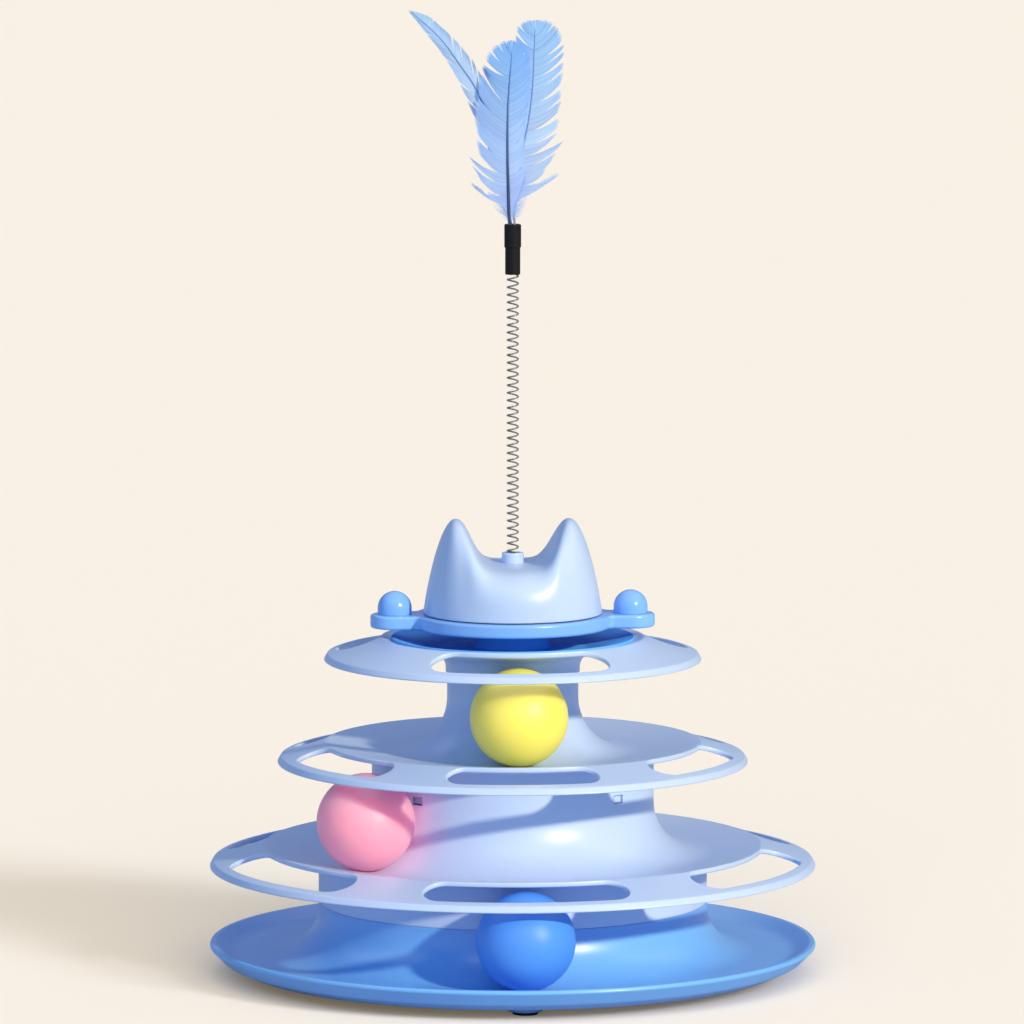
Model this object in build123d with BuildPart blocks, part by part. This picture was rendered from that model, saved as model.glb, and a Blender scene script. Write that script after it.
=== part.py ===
from build123d import *
import os
from math import asin, copysign, cos, degrees, exp, pi, radians, sin, sqrt

os.makedirs("parts", exist_ok=True)

# Driving dimensions, all in mm
BASE_R = 125.0
BALL_R = 0.16 * BASE_R
SHEET = 2.0
FIT = 0.05
SLIP = 0.3
SPIGOT = 2.0
FRONT = 270.0

# Base tray, whose trough is as wide as the ball needs
BASE_FLOOR = 10.0
BASE_FLARE = BALL_R - 1.0
BASE_HUB_R = 0.64 * BASE_R
BASE_HUB_TOP = BASE_FLOOR + BALL_R + 1.0
RIM_TOP = 14.0
RIM_W = 2.6
BASE_UNDER = 4.0
HEM_W = 3.0
FOOT_RING = 0.776 * BASE_R
FOOT_BOSS_R = 7.2
PAD_R = 5.2
PAD_H = 1.5
PAD_SINK = 0.8
FEET = ("front", "right", "back", "left")

# Lower track, as wide as the base and one ball above it
LOW_ROOT = BASE_FLOOR + 2 * BALL_R - 2.6
LOW_HUB_R = 0.464 * BASE_R
LOW_FLARE = BALL_R + 1.0
LOW_CREST = (0.82 * BASE_R, LOW_ROOT + 6.8)
LOW_LIP_R = BASE_R
LOW_LIP_Z = LOW_ROOT - 2.2

# Middle track, one ball above the lower one
MID_ROOT = LOW_ROOT + 2 * BALL_R + 2.6
LOW_HUB_TOP = MID_ROOT - 7.0
MID_HUB_R = 0.216 * BASE_R
MID_FLARE = BALL_R + 2.0
MID_CREST = (0.616 * BASE_R, MID_ROOT + 6.8)
MID_LIP_R = 0.776 * BASE_R
MID_LIP_Z = MID_ROOT - 1.7

# Lip and slots, alike on all levels
UNDER_FLARE = 0.78
LIP_H = 2.7
LIP_SET = 1.6
LIP_T = 1.9
SLOT_IN = 0.4
SLOT_OUT = 5.6
SLOT_ROUND = 0.6
LOW_SLOT_HALF = 21.5
MID_SLOT_HALF = 21.0
TOP_SLOT_HALF = 33.5
TRACK_SLOTS = 6
TOP_SLOTS = 3

# Snap windows between the lower and the middle track
SNAPS = 4
SNAP_W = 5.4
SNAP_H = 3.4
SNAP_Z = LOW_HUB_TOP - 4.8
SNAP_REACH = 1.4

# Top plate, one ball above the middle track
TOP_CREST = (0.432 * BASE_R, MID_ROOT + 2 * BALL_R + 10.4)
TOP_LIP_R = 0.6224 * BASE_R
TOP_LIP_Z = TOP_CREST[1] - 9.8
WELL_FLOOR = TOP_CREST[1] - 5.8
WELL_TOP = TOP_CREST[1] - 0.8
MID_HUB_TOP = TOP_CREST[1] - 14.4
FUNNEL_FLARE = 6.0

# Spindle, arm and knobs
DISC_R = TOP_CREST[0] - 4.0
DISC_H = 1.2
NECK_R = 15.0
JOURNAL_R = 12.0
ARM_R = 0.324 * BASE_R
ARM_Z = TOP_CREST[1] + 3.7
ARM_H = 5.6
ARM_PLAY = 0.3
SPINDLE_TOP = ARM_Z + ARM_H + 2 * ARM_PLAY
ARM_POCKET = 3.4
LOBE_R = 10.0
LOBE_X = ARM_R + 0.8 * LOBE_R
LOBE_BLEND = 3.0
ARM_ROUND = 1.2
KNOB_R = 7.0
KNOB_STRAIGHT = 2.5
KNOB_STEM_R = 2.6
KNOB_STEM_H = 2.4

# Cat head
HEAD_Z = ARM_Z + ARM_H + 0.4
HEAD_R = ARM_R - 3.8
HEAD_WALL = 2.2
EAR_H = 38.7
SADDLE_H = 20.6
SADDLE = HEAD_Z + SADDLE_H
ROOF = 0.9
EAR_X = 0.638 * HEAD_R
EAR_IN = 0.223 * HEAD_R
EAR_SHAPE = 2.3
EAR_FALL = 1.9
EAR_EDGE = 0.9
SADDLE_ARCH = 4.0
EAR_ARCH = 2.1
SIDE_ARCH = 2.0
HEAD_SLICES = 15
ARCH_STEPS = 12
HEAD_BOSS_R = 5.6

# Screw
SCREW_R = 1.45
SCREW_HEAD_R = 3.0
SCREW_HEAD_H = 2.2
SCREW_TIP = HEAD_Z + 9.2
SCREW_PILOT = SCREW_TIP + 2.0
WASHER_R = 8.0
WASHER_H = 0.8

# Teaser
PLUG_R = 4.5
PLUG_TOP = SADDLE + 4.2
PLUG_SEAT = SADDLE - 0.8
PLUG_STEM_R = 3.0
PLUG_STEM_H = 5.0
PLUG_FLOOR = SADDLE
WIRE_R = 0.38
COIL_R = 2.16
COIL_PITCH = 3.09
COIL_TURNS = 40
SPRING_BORE = 2.65
SLEEVE_Z = PLUG_FLOOR + COIL_PITCH * COIL_TURNS - 5.0
SLEEVE_R = 3.1
SLEEVE_TOP = SLEEVE_Z + 11.0
SLEEVE_NIB_R = 2.2
SLEEVE_NIB_H = 3.2
CAP_R = 3.45
CAP_TOP = SLEEVE_TOP + 9.6
QUILL_BORE = 2.5
QUILL_DEPTH = 5.0
QUILL_R = 0.6
QUILL_RING = 1.25
VANE_T = 0.7
SPLIT_W = 1.4


def polar(radius, angle):
    return radius * cos(radians(angle)), radius * sin(radians(angle))


def turn_section(corners):
    """Turn a closed section of (radius, height, corner rounding) about the upright axis."""
    with BuildSketch(Plane.XZ) as section:
        with BuildLine():
            spots = [(c[0], c[1]) for c in corners]
            FilletPolyline(*spots, radius=[c[2] for c in corners], close=True)
        make_face()
    revolve(section.sketch, axis=Axis.Z)


def lip_corners(crest, lip_r, lip_z):
    """Deck that falls from the crest to a small hanging lip, then back along its underside."""
    lip_top = (lip_r - LIP_SET, lip_z + LIP_H)
    fall = (crest[1] - lip_top[1]) / (lip_top[0] - crest[0])
    drop = SHEET * sqrt(1 + fall * fall)
    inner = lip_r - LIP_T - LIP_SET / 2
    under = crest[1] - drop - fall * (inner - crest[0])
    return [
        (crest[0], crest[1], 2.5),
        (lip_top[0], lip_top[1], 1.0),
        (lip_r, lip_z, 0.4),
        (lip_r - LIP_T, lip_z, 0.4),
        (inner, under, 0.3),
        (crest[0], crest[1] - drop, 1.0),
    ]


def track_corners(hub_r, hub_top, flare, root, crest, lip_r, lip_z, skirt_r, seat, spigot_bottom):
    """Hub, flare, trough, deck and lip of one level, with a skirt that stands on the hub below."""
    rise = (crest[1] - root) / (crest[0] - hub_r)
    drop = SHEET * sqrt(1 + rise * rise)
    under = lambda r: root - drop + rise * (r - hub_r)
    spigot_r = skirt_r - SHEET - SLIP
    skirt_in = skirt_r - SHEET - 1.0
    return (
        [(hub_r, hub_top, 0.4), (hub_r, root, flare)]
        + lip_corners(crest, lip_r, lip_z)
        + [
            (skirt_r, under(skirt_r), 1.5),
            (skirt_r, seat, 0),
            (spigot_r, seat, 0),
            (spigot_r, spigot_bottom, 0.6),
            (spigot_r - SPIGOT, spigot_bottom, 0.6),
            (spigot_r - SPIGOT, seat + SPIGOT, 0),
            (skirt_in, seat + 2 * SPIGOT, 0),
            (skirt_in, under(skirt_in), 0),
            (hub_r - SHEET, under(hub_r - SHEET), UNDER_FLARE * flare),
            (hub_r - SHEET, hub_top, 0.4),
        ]
    )


def cut_slots(crest_r, lip_r, half, count, low, high):
    """Cut round-ended slots through a deck and round their upper edges."""
    inner = crest_r + SLOT_IN
    outer = lip_r - SLOT_OUT
    mid = (inner + outer) / 2
    width = outer - inner
    reach = half - degrees(asin(width / 2 / mid))
    with BuildSketch(Plane.XY.offset(low)) as slots:
        for k in range(count):
            start = FRONT + k * 360 / count - reach
            SlotArc(Edge.make_circle(mid, start_angle=start, end_angle=start + 2 * reach), width)
    extrude(slots.sketch, amount=high - low, mode=Mode.SUBTRACT)
    fresh = edges(Select.LAST)
    top = [e for e in fresh if e.length > width and e.center().Z > (low + high) / 2]
    return top


# Base tray with its four foot bosses
FOOT_ANGLES = [FRONT + 90 * k for k in range(len(FEET))]
with BuildPart() as base_tray:
    turn_section(
        [
            (BASE_HUB_R, BASE_HUB_TOP, 0.4),
            (BASE_HUB_R, BASE_FLOOR, BASE_FLARE),
            (BASE_R - 10, BASE_FLOOR, 9),
            (BASE_R - RIM_W, RIM_TOP, 0.9),
            (BASE_R - 0.7, RIM_TOP, 0.6),
            (BASE_R, RIM_TOP - 1.4, 0.8),
            (BASE_R - 5.5, BASE_UNDER + 3.2, 4),
            (BASE_R - 13, BASE_UNDER, 2),
            (BASE_R - 13 - HEM_W, BASE_UNDER, 0.6),
            (BASE_R - 13.6 - HEM_W, BASE_FLOOR - SHEET, 0.6),
            (BASE_HUB_R - SHEET, BASE_FLOOR - SHEET, BASE_FLARE),
            (BASE_HUB_R - SHEET, BASE_HUB_TOP, 0.4),
        ]
    )
    with BuildSketch(Plane.XY.offset(PAD_H)):
        with Locations(*[polar(FOOT_RING, a) for a in FOOT_ANGLES]):
            Circle(FOOT_BOSS_R)
    extrude(amount=BASE_FLOOR - SHEET / 4 - PAD_H)
    with BuildSketch(Plane.XY.offset(PAD_H)):
        with Locations(*[polar(FOOT_RING, a) for a in FOOT_ANGLES]):
            Circle(PAD_R + FIT)
    extrude(amount=PAD_SINK, mode=Mode.SUBTRACT)
base_tray.part.label = "base_tray"
export_step(base_tray.part, "parts/base_tray.step")

# Rubber pads, set into the bosses
for side, angle in zip(FEET, FOOT_ANGLES):
    with BuildPart() as foot_pad:
        with BuildSketch():
            with Locations(polar(FOOT_RING, angle)):
                Circle(PAD_R)
        extrude(amount=PAD_H + PAD_SINK)
        fillet(foot_pad.edges().group_by(Axis.Z)[0], PAD_H / 4)
    foot_pad.part.label = "foot_pad_" + side
    export_step(foot_pad.part, "parts/foot_pad_" + side + ".step")

# Lower track
with BuildPart() as lower_track:
    turn_section(
        track_corners(
            LOW_HUB_R, LOW_HUB_TOP, LOW_FLARE, LOW_ROOT, LOW_CREST, LOW_LIP_R, LOW_LIP_Z,
            BASE_HUB_R, BASE_HUB_TOP, BASE_HUB_TOP - 9,
        )
    )
    rim = cut_slots(LOW_CREST[0], LOW_LIP_R, LOW_SLOT_HALF, TRACK_SLOTS, LOW_LIP_Z, LOW_CREST[1] + 2)
    fillet(rim, SLOT_ROUND)
    with PolarLocations(LOW_HUB_R, SNAPS, start_angle=45):
        with Locations((0, 0, SNAP_Z)):
            Box(4 * SHEET, SNAP_W, SNAP_H, mode=Mode.SUBTRACT)
lower_track.part.label = "lower_track"
export_step(lower_track.part, "parts/lower_track.step")

# Middle track, whose spigot has the snaps that stand in the windows of the hub below
with BuildPart() as middle_track:
    turn_section(
        track_corners(
            MID_HUB_R, MID_HUB_TOP, MID_FLARE, MID_ROOT, MID_CREST, MID_LIP_R, MID_LIP_Z,
            LOW_HUB_R, LOW_HUB_TOP, SNAP_Z - 5,
        )
    )
    rim = cut_slots(MID_CREST[0], MID_LIP_R, MID_SLOT_HALF, TRACK_SLOTS, MID_LIP_Z, MID_CREST[1] + 2)
    fillet(rim, SLOT_ROUND)
    with PolarLocations(LOW_HUB_R - SHEET - SLIP, SNAPS, start_angle=45):
        with Locations((0, 0, SNAP_Z)):
            Box(2 * SNAP_REACH, SNAP_W - 2 * SLIP, SNAP_H - 2 * SLIP)
middle_track.part.label = "middle_track"
export_step(middle_track.part, "parts/middle_track.step")

# Top plate: a deck on a funnel that stands on the middle hub, with a well inside
WELL_R = MID_HUB_R + 3
WELL_RISE = (WELL_TOP - WELL_FLOOR) / (TOP_CREST[0] - 2 - WELL_R)
with BuildPart() as top_plate:
    collar_r = MID_HUB_R + 0.6
    spigot_r = MID_HUB_R - SHEET - SLIP
    floor_under = WELL_FLOOR - SHEET
    turn_section(
        [
            (SCREW_R + FIT, WELL_FLOOR, 0),
            (WELL_R, WELL_FLOOR, 3),
            (TOP_CREST[0] - 2, WELL_TOP, 0.5),
        ]
        + lip_corners(TOP_CREST, TOP_LIP_R, TOP_LIP_Z)[:5]
        + [
            (TOP_CREST[0], TOP_CREST[1] - SHEET - SLIP, 2),
            (collar_r, floor_under, FUNNEL_FLARE),
            (collar_r, MID_HUB_TOP, 0),
            (spigot_r, MID_HUB_TOP, 0),
            (spigot_r, MID_HUB_TOP - 8, 0.6),
            (spigot_r - SPIGOT, MID_HUB_TOP - 8, 0.6),
            (spigot_r - SPIGOT, floor_under, 2),
            (SCREW_R + FIT, floor_under, 0),
        ]
    )
    rim = cut_slots(TOP_CREST[0], TOP_LIP_R, TOP_SLOT_HALF, TOP_SLOTS, TOP_LIP_Z, TOP_CREST[1] + 2)
    fillet(rim, SLOT_ROUND)
top_plate.part.label = "top_plate"
export_step(top_plate.part, "parts/top_plate.step")

# Spindle: dish in the well, neck under the arm and journal inside it
with BuildPart() as spindle:
    dish_top = WELL_FLOOR + FIT + WELL_RISE * (DISC_R - WELL_R)
    turn_section(
        [
            (SCREW_R + FIT, WELL_FLOOR, 0),
            (WELL_R, WELL_FLOOR + FIT, 3),
            (DISC_R, dish_top, 0.2),
            (DISC_R, dish_top + DISC_H, 0.4),
            (WELL_R, WELL_FLOOR + DISC_H, 3),
            (NECK_R, WELL_FLOOR + DISC_H, 1.0),
            (NECK_R, ARM_Z - ARM_PLAY, 0.4),
            (JOURNAL_R, ARM_Z - ARM_PLAY, 0),
            (JOURNAL_R, SPINDLE_TOP, 0.4),
            (SCREW_R + FIT, SPINDLE_TOP, 0),
        ]
    )
spindle.part.label = "spindle"
export_step(spindle.part, "parts/spindle.step")

# Spinner arm, hollow below, with a socket for each knob
with BuildPart() as spinner_arm:
    with BuildSketch(Plane.XY.offset(ARM_Z)) as arm_outline:
        Circle(ARM_R)
        SlotOverall(2 * (LOBE_X + LOBE_R), 2 * LOBE_R)
        inner_corners = arm_outline.vertices().filter_by(lambda v: abs(v.Y) > LOBE_R - 0.1)
        fillet(inner_corners.filter_by(lambda v: abs(v.X) < ARM_R), LOBE_BLEND)
    extrude(amount=ARM_H)
    rims = spinner_arm.edges().group_by(Axis.Z)
    fillet(rims[0] + rims[-1], ARM_ROUND)
    with BuildSketch(Plane.XY.offset(ARM_Z)):
        Circle(ARM_R - 3 * SHEET / 2)
        Circle(JOURNAL_R + 3 * SHEET, mode=Mode.SUBTRACT)
    extrude(amount=ARM_POCKET, mode=Mode.SUBTRACT)
    with BuildSketch(Plane.XY.offset(ARM_Z)):
        Circle(JOURNAL_R + FIT)
    extrude(amount=ARM_H, mode=Mode.SUBTRACT)
    with BuildSketch(Plane.XY.offset(ARM_Z + ARM_H)):
        with Locations((LOBE_X, 0), (-LOBE_X, 0)):
            Circle(KNOB_STEM_R + FIT)
    extrude(amount=-KNOB_STEM_H - SLIP, mode=Mode.SUBTRACT)
spinner_arm.part.label = "spinner_arm"
export_step(spinner_arm.part, "parts/spinner_arm.step")

# Dome knobs with a stem in the lobe
for side, x in (("left", -LOBE_X), ("right", LOBE_X)):
    with BuildPart() as knob:
        foot = ARM_Z + ARM_H
        with BuildSketch(Plane.XZ):
            with BuildLine():
                Polyline(
                    (0, foot + KNOB_STRAIGHT + KNOB_R),
                    (0, foot - KNOB_STEM_H),
                    (KNOB_STEM_R, foot - KNOB_STEM_H),
                    (KNOB_STEM_R, foot),
                    (KNOB_R, foot),
                    (KNOB_R, foot + KNOB_STRAIGHT),
                )
                CenterArc((0, foot + KNOB_STRAIGHT), KNOB_R, 0, 90)
            make_face()
        revolve(axis=Axis.Z)
    knob.part.label = "knob_" + side
    export_step(knob.part.moved(Location((x, 0, 0))), "parts/knob_" + side + ".step")


def head_height(x):
    """Height of the cap over its middle line: two ears with a saddle between them."""
    off = abs(x) - EAR_X
    if off < 0:
        return SADDLE_H + (EAR_H - SADDLE_H) * exp(-((-off / EAR_IN) ** EAR_SHAPE))
    return EAR_H * (1 - (off / (HEAD_R - EAR_X)) ** EAR_FALL) ** EAR_EDGE


def head_arch(x):
    """Fullness of the arch over x: flat over the saddle, round at the ears."""
    off = abs(x) - EAR_X
    if off < 0:
        share = (head_height(x) - SADDLE_H) / (EAR_H - SADDLE_H)
        return SADDLE_ARCH + share * (EAR_ARCH - SADDLE_ARCH)
    return EAR_ARCH + off / (HEAD_R - EAR_X) * (SIDE_ARCH - EAR_ARCH)


def head_form(wide, tall):
    """Loft of arches from one side of the cap to the other, which forms the ears and the saddle."""
    slices = []
    for k in range(-HEAD_SLICES, HEAD_SLICES + 1):
        x = 0.997 * HEAD_R * sin(pi / 2 * k / HEAD_SLICES)
        depth = sqrt(HEAD_R * HEAD_R - x * x)
        height = head_height(x)
        power = head_arch(x)
        arch = []
        for step in range(ARCH_STEPS + 1):
            turn = pi * step / ARCH_STEPS
            across = copysign(abs(cos(turn)) ** (2 / power), cos(turn))
            arch.append((-depth * wide * across, height * tall * abs(sin(turn)) ** (2 / power)))
        slice_plane = Plane(origin=(x * wide, 0, HEAD_Z), x_dir=(0, 1, 0), z_dir=(1, 0, 0))
        with BuildSketch(slice_plane) as section:
            with BuildLine():
                Spline(*arch, tangents=[(0, 1), (0, -1)])
                Line(arch[-1], arch[0])
            make_face()
        slices.append(section.sketch)
    loft(slices)


# Cat head: the same form smaller is taken out of it, then the bosses go in
with BuildPart() as head_hollow:
    head_form(1 - HEAD_WALL / HEAD_R, ROOF)
with BuildPart() as cat_head:
    head_form(1, 1)
    add(head_hollow.part, mode=Mode.SUBTRACT)
    with BuildSketch(Plane.XY.offset(SPINDLE_TOP)):
        Circle(HEAD_BOSS_R)
    extrude(amount=SADDLE - HEAD_WALL / 2 - SPINDLE_TOP)
    with BuildSketch(Plane.XY.offset(SPINDLE_TOP)):
        Circle(SCREW_R)
    extrude(amount=SCREW_PILOT - SPINDLE_TOP, mode=Mode.SUBTRACT)
    with BuildSketch(Plane.XY.offset(PLUG_SEAT)):
        Circle(PLUG_R + FIT)
    extrude(amount=PLUG_TOP - PLUG_SEAT, mode=Mode.SUBTRACT)
    with BuildSketch(Plane.XY.offset(PLUG_SEAT)):
        Circle(PLUG_STEM_R + FIT)
    extrude(amount=-PLUG_STEM_H, mode=Mode.SUBTRACT)
cat_head.part.label = "cat_head"
export_step(cat_head.part, "parts/cat_head.step")

# Clamping screw and its washer, under the top plate
with BuildPart() as screw_washer:
    with BuildSketch(Plane.XY.offset(WELL_FLOOR - SHEET - WASHER_H)):
        Circle(WASHER_R)
        Circle(SCREW_R + FIT, mode=Mode.SUBTRACT)
    extrude(amount=WASHER_H)
screw_washer.part.label = "screw_washer"
export_step(screw_washer.part, "parts/screw_washer.step")

with BuildPart() as head_screw:
    seat = WELL_FLOOR - SHEET - WASHER_H
    with BuildSketch(Plane.XY.offset(seat - SCREW_HEAD_H)):
        Circle(SCREW_HEAD_R)
    extrude(amount=SCREW_HEAD_H)
    fillet(head_screw.edges().group_by(Axis.Z)[0], 0.8)
    with BuildSketch(Plane.XY.offset(seat)):
        Circle(SCREW_R)
    extrude(amount=SCREW_TIP - seat)
    chamfer(head_screw.edges().group_by(Axis.Z)[-1], SCREW_R / 2)
    with BuildSketch(Plane.XY.offset(seat - SCREW_HEAD_H)):
        with Locations((0, 0, 0)):
            Rectangle(SCREW_HEAD_R, SCREW_HEAD_R / 5)
            Rectangle(SCREW_HEAD_R / 5, SCREW_HEAD_R)
    extrude(amount=SCREW_HEAD_H / 2, mode=Mode.SUBTRACT)
head_screw.part.label = "head_screw"
export_step(head_screw.part, "parts/head_screw.step")

# Plug that holds the spring in the saddle of the head
with BuildPart() as spring_plug:
    turn_section(
        [
            (SPRING_BORE, PLUG_FLOOR, 0),
            (0, PLUG_FLOOR, 0),
            (0, PLUG_SEAT - PLUG_STEM_H + SLIP, 0),
            (PLUG_STEM_R, PLUG_SEAT - PLUG_STEM_H + SLIP, 0.5),
            (PLUG_STEM_R, PLUG_SEAT, 0),
            (PLUG_R, PLUG_SEAT, 0),
            (PLUG_R, PLUG_TOP, 0.6),
            (SPRING_BORE, PLUG_TOP, 0.3),
        ]
    )
spring_plug.part.label = "spring_plug"
export_step(spring_plug.part, "parts/spring_plug.step")


def coil_point(turns):
    angle = 2 * pi * turns
    return Vector(COIL_R * cos(angle), COIL_R * sin(angle), COIL_PITCH * turns)


def coil_heading(turns):
    angle = 2 * pi * turns
    run = 2 * pi * COIL_R
    return Vector(-run * sin(angle), run * cos(angle), COIL_PITCH).normalized()


def biarc(start, end, begin, finish):
    """Joint of the two arcs that run from start to end with the given headings."""
    span = end - start
    both = begin + finish
    lean = 2 * (1 - begin.dot(finish))
    along = span.dot(both)
    reach = (sqrt(along * along + lean * span.dot(span)) - along) / lean
    return (start + begin * reach + end - finish * reach) * 0.5


# Spring: one unbroken wire on quarter-turn biarcs, with straight ends
STEPS = 4 * COIL_TURNS
with BuildPart() as spring:
    with BuildLine() as wire_path:
        first = coil_point(0)
        heading = coil_heading(0)
        Line(first - heading * 2 * WIRE_R, first)
        for k in range(STEPS):
            here = coil_point(k / 4)
            there = coil_point((k + 1) / 4)
            go = coil_heading(k / 4)
            leave = coil_heading((k + 1) / 4)
            joint = biarc(here, there, go, leave)
            one = TangentArc(here, joint, tangent=go)
            TangentArc(joint, there, tangent=one % 1)
        last = coil_point(COIL_TURNS)
        Line(last, last + coil_heading(COIL_TURNS) * 2 * WIRE_R)
    with BuildSketch(Plane(origin=wire_path.line @ 0, z_dir=wire_path.line % 0)):
        RegularPolygon(WIRE_R, 6)
    sweep(path=wire_path.line)
spring_seat = Location((0, 0, PLUG_FLOOR + WIRE_R + FIT))
spring.part.label = "spring"
export_step(spring.part.moved(spring_seat), "parts/spring.step")

samples = [coil_point(k / 24) for k in range(24 * 3)]
least = min((a - b).length for i, a in enumerate(samples) for b in samples[i + 16:])
print("spring: least gap between turns", round(least - 2 * WIRE_R, 2), "mm")

# Black holder: sleeve on the spring, and cap on the quills
with BuildPart() as spring_sleeve:
    turn_section(
        [
            (SPRING_BORE, SLEEVE_Z, 0),
            (SLEEVE_R, SLEEVE_Z, 0.2),
            (SLEEVE_R, SLEEVE_TOP, 0),
            (SLEEVE_NIB_R, SLEEVE_TOP, 0),
            (SLEEVE_NIB_R, SLEEVE_TOP + SLEEVE_NIB_H, 0.3),
            (0, SLEEVE_TOP + SLEEVE_NIB_H, 0),
            (0, SLEEVE_TOP - 2.4, 0),
            (SPRING_BORE, SLEEVE_TOP - 2.4, 0),
        ]
    )
spring_sleeve.part.label = "spring_sleeve"
export_step(spring_sleeve.part, "parts/spring_sleeve.step")

with BuildPart() as feather_cap:
    turn_section(
        [
            (SLEEVE_NIB_R + FIT, SLEEVE_TOP, 0),
            (CAP_R, SLEEVE_TOP, 0.4),
            (CAP_R, CAP_TOP, 0.5),
            (QUILL_BORE, CAP_TOP, 0.2),
            (QUILL_BORE, CAP_TOP - QUILL_DEPTH, 0),
            (0, CAP_TOP - QUILL_DEPTH, 0),
            (0, SLEEVE_TOP + SLEEVE_NIB_H + SLIP, 0),
            (SLEEVE_NIB_R + FIT, SLEEVE_TOP + SLEEVE_NIB_H + SLIP, 0),
        ]
    )
feather_cap.part.label = "feather_cap"
export_step(feather_cap.part, "parts/feather_cap.step")


def feather(quill_angle, depth, shaft, outline, splits):
    """Flat vane with V splits, on a shaft that runs down into the cap."""
    qx, qy = polar(QUILL_RING, quill_angle)
    low = CAP_TOP - QUILL_DEPTH + FIT
    sheet = Plane(origin=(0, depth, CAP_TOP), x_dir=(1, 0, 0), z_dir=(0, -1, 0))
    with BuildSketch(sheet) as vane:
        with BuildLine():
            Spline(*outline, periodic=True)
        make_face()
        for mouth, heart in splits:
            dx = heart[0] - mouth[0]
            dz = heart[1] - mouth[1]
            size = sqrt(dx * dx + dz * dz)
            across = (-dz * SPLIT_W / size, dx * SPLIT_W / size)
            away = (mouth[0] - dx / 3, mouth[1] - dz / 3)
            with BuildLine():
                Polyline(
                    (away[0] + across[0], away[1] + across[1]),
                    heart,
                    (away[0] - across[0], away[1] - across[1]),
                    close=True,
                )
            make_face(mode=Mode.SUBTRACT)
    extrude(vane.sketch, amount=VANE_T / 2, both=True)
    with BuildLine() as stem:
        rise = [(p[0], depth, CAP_TOP + p[1]) for p in shaft]
        spots = [(qx, qy, low), (qx, qy, CAP_TOP + 1)] + rise
        Spline(*spots, tangents=[(0, 0, 1), shaft_end(shaft)])
    with BuildSketch(Plane(origin=stem.line @ 0, z_dir=stem.line % 0)) as quill:
        Circle(QUILL_R)
    sweep(quill.sketch, path=stem.line)


def shaft_end(shaft):
    (xa, za), (xb, zb) = shaft[-2:]
    return (xb - xa, 0, zb - za)


# Feathers, as spots (x, height above the cap) on the plane of each vane
with BuildPart() as feather_left:
    feather(
        150, 1.6,
        [(-4.5, 25.1), (-14.0, 53.1), (-26.5, 75.1), (-38.0, 85.1)],
        [
            (-43.0, 87.7), (-29.7, 82.1), (-19.3, 71.6), (-10.5, 56.1), (-3.5, 36.1), (-2.2, 22.1),
            (-7.0, 24.1), (-12.5, 36.1), (-16.6, 47.1), (-24.6, 61.6), (-31.0, 72.1), (-38.0, 81.1),
        ],
        [((-25.0, 62.1), (-16.5, 56.1)), ((-33.0, 74.6), (-25.5, 71.1))],
    )
feather_left.part.label = "feather_left"
export_step(feather_left.part, "parts/feather_left.step")

with BuildPart() as feather_centre:
    feather(
        270, -2.0,
        [(-1.6, 15.1), (-2.6, 35.1), (-2.0, 56.1), (-0.8, 68.1)],
        [
            (-1.0, 75.7), (-10.2, 72.1), (-14.6, 62.1), (-17.2, 47.1), (-18.6, 32.1), (-17.0, 20.1),
            (-8.6, 12.5), (-1.4, 8.1), (4.2, 13.1), (8.0, 24.1), (8.8, 40.1), (7.6, 58.1), (5.0, 70.1),
        ],
        [((-17.5, 42.1), (-8.0, 31.1)), ((-19.0, 30.1), (-9.0, 20.1)), ((9.0, 35.1), (2.0, 25.1))],
    )
feather_centre.part.label = "feather_centre"
export_step(feather_centre.part, "parts/feather_centre.step")

with BuildPart() as feather_right:
    feather(
        30, 1.0,
        [(2.6, 25.1), (5.5, 44.1), (7.6, 60.1), (8.8, 78.1)],
        [
            (8.0, 83.9), (1.6, 79.7), (0.6, 66.1), (0.2, 50.1), (-0.6, 32.1), (0.4, 16.1),
            (2.8, 9.5), (10.0, 16.1), (17.0, 24.1), (20.4, 36.1), (20.6, 52.1), (21.2, 70.1), (18.6, 81.1),
        ],
        [
            ((21.6, 70.1), (12.0, 59.1)), ((21.0, 58.1), (11.0, 47.1)),
            ((20.6, 44.1), (9.0, 33.1)), ((20.0, 32.1), (8.0, 21.1)),
        ],
    )
feather_right.part.label = "feather_right"
export_step(feather_right.part, "parts/feather_right.step")


def trough(hub_r, flare, root, crest):
    """Ring radius and height of the lowest line of a track."""
    rise = (crest[1] - root) / (crest[0] - hub_r)
    centre = root + rise * flare + flare * sqrt(1 + rise * rise)
    return hub_r + flare, centre - flare


# Balls, each at the lowest line of its track
LOW_RUN = trough(LOW_HUB_R, LOW_FLARE, LOW_ROOT, LOW_CREST)
MID_RUN = trough(MID_HUB_R, MID_FLARE, MID_ROOT, MID_CREST)
BASE_RUN = (BASE_HUB_R + BALL_R + 1, BASE_FLOOR)
for name, run, angle in (
    ("ball_blue", BASE_RUN, FRONT),
    ("ball_pink", LOW_RUN, FRONT - 52),
    ("ball_yellow", MID_RUN, FRONT),
):
    with BuildPart() as ball:
        x, y = polar(run[0], angle)
        with Locations((x, y, run[1] + BALL_R + FIT / 2)):
            Sphere(BALL_R)
    ball.part.label = name
    export_step(ball.part, "parts/" + name + ".step")
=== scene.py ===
import math
import random

import bpy
from mathutils import Matrix, Vector


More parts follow.
